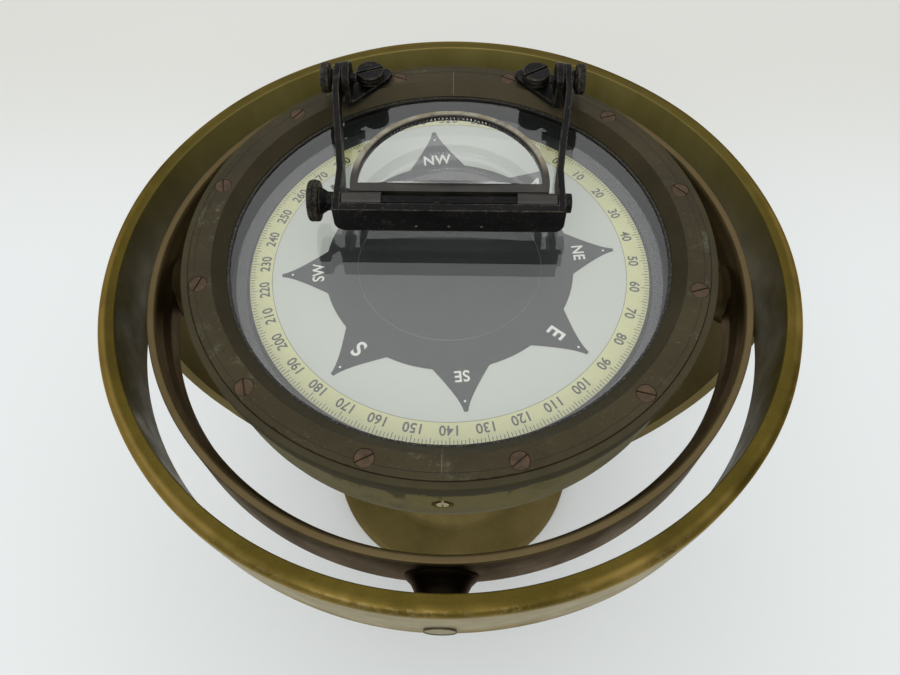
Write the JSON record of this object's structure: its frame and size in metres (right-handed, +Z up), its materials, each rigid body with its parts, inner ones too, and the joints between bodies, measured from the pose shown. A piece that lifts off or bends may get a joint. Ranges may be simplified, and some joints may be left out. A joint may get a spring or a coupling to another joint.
{
  "type": "ship compass",
  "caption": "Gimballed liquid-filled magnetic ship's compass on a bronze yoke stand, with a degree card under glass and a hinged reading lens",
  "frame": {"origin": "centre of the foot's flat underside, on the surface the compass stands on", "axes": "+Z up; +X to starboard, along the bowl's side-to-side pivots; -Y towards the reader, +Y forward, along the outer ring's fore-and-aft pivots"},
  "size_m": [0.327, 0.327, 0.284],
  "materials": {
    "stand_bronze": "aged olive-brown bronze",
    "ring_bronze": "aged gold-brown bronze, worn edges",
    "gimbal_bronze": "aged brown bronze, lighter rim",
    "worn_brass": "bright worn brass",
    "bowl_paint": "pale greenish-tan worn paint",
    "bezel_bronze": "dark brown-grey bronze with patina",
    "screw_copper": "coppery slotted screws",
    "packing": "black packing",
    "glass": "clear flat glass",
    "grey_paint": "light grey paint",
    "card_enamel": "white and pale-yellow enamel",
    "float_metal": "white painted thin metal",
    "steel": "steel",
    "jewel": "polished jewel",
    "lead": "ballast metal",
    "black_japan": "worn black paint",
    "frame_metal": "blackened brass, worn bright at the edge"
  },
  "bodies": {
    "stand": {"base_foot": "stand_bronze", "yoke": "stand_bronze", "yoke_screws": "screw_copper", "outer_ring": "ring_bronze", "gimbal_pivot_pins": "ring_bronze"},
    "gimbal": {"gimbal_ring": "gimbal_bronze", "gimbal_bushes": "worn_brass", "bowl_pivot_pins": "worn_brass"},
    "bowl": {"compass_bowl": "bowl_paint", "trunnion_bushes": "worn_brass", "filler_plug": "worn_brass", "bezel_ring": "bezel_bronze", "bezel_screws": "screw_copper", "upper_gasket": "packing", "cover_glass": "glass", "lower_gasket": "packing", "verge_ring": "grey_paint", "pivot_bridge": "grey_paint", "bridge_screws": "worn_brass", "pivot_stem": "worn_brass", "pivot_point": "steel", "lower_housing": "bowl_paint", "housing_gasket": "packing", "housing_screws": "screw_copper", "expansion_bellows": "worn_brass", "bellows_nut": "worn_brass", "ballast_ring": "lead", "bottom_cover": "bowl_paint", "bottom_cover_screws": "screw_copper", "left_bracket": "black_japan", "right_bracket": "black_japan", "bracket_screws": "black_japan"},
    "card": {"card_disc": "card_enamel", "card_float": "float_metal", "jewel_cap": "worn_brass", "card_jewel": "jewel", "magnet_carrier": "float_metal", "card_magnets": "steel"},
    "magnifier": {"lens_bracket": "black_japan"},
    "lens": {"lens_frame": "frame_metal", "magnifier_lens": "glass"},
    "knob": {"lens_shaft": "black_japan", "lens_knob": "black_japan", "shaft_collar": "black_japan"},
    "thumbscrew_left": {"left_thumbscrew": "black_japan"},
    "thumbscrew_right": {"right_thumbscrew": "black_japan"}
  },
  "joints": [
    {"name": "gimbal_roll", "type": "hinge", "parent": "stand", "child": "gimbal", "pos_m": [0, 0, 0.221], "axis": [0, 1, 0], "range_deg": [-30, 30]},
    {"name": "bowl_pitch", "type": "hinge", "parent": "gimbal", "child": "bowl", "pos_m": [0, 0, 0.221], "axis": [1, 0, 0], "range_deg": [-30, 30]},
    {"name": "card_turn", "type": "hinge", "parent": "bowl", "child": "card", "pos_m": [0, 0, 0.2375], "axis": [0, 0, 1], "continuous": true},
    {"name": "magnifier_swing", "type": "hinge", "parent": "bowl", "child": "magnifier", "pos_m": [0, 0.094, 0.276], "axis": [-1, 0, 0], "range_deg": [0, 110]},
    {"name": "lens_tilt", "type": "hinge", "parent": "magnifier", "child": "lens", "pos_m": [0, 0.0127, 0.272], "axis": [1, 0, 0], "range_deg": [0, 90]},
    {"name": "lens_knob_turn", "type": "hinge", "parent": "magnifier", "child": "knob", "pos_m": [-0.06, 0.0127, 0.272], "axis": [1, 0, 0], "range_deg": [-180, 180]},
    {"name": "left_thumbscrew_turn", "type": "hinge", "parent": "bowl", "child": "thumbscrew_left", "pos_m": [-0.065, 0.094, 0.276], "axis": [1, 0, 0], "range_deg": [0, 360]},
    {"name": "right_thumbscrew_turn", "type": "hinge", "parent": "bowl", "child": "thumbscrew_right", "pos_m": [0.065, 0.094, 0.276], "axis": [1, 0, 0], "range_deg": [0, 360]}
  ]
}
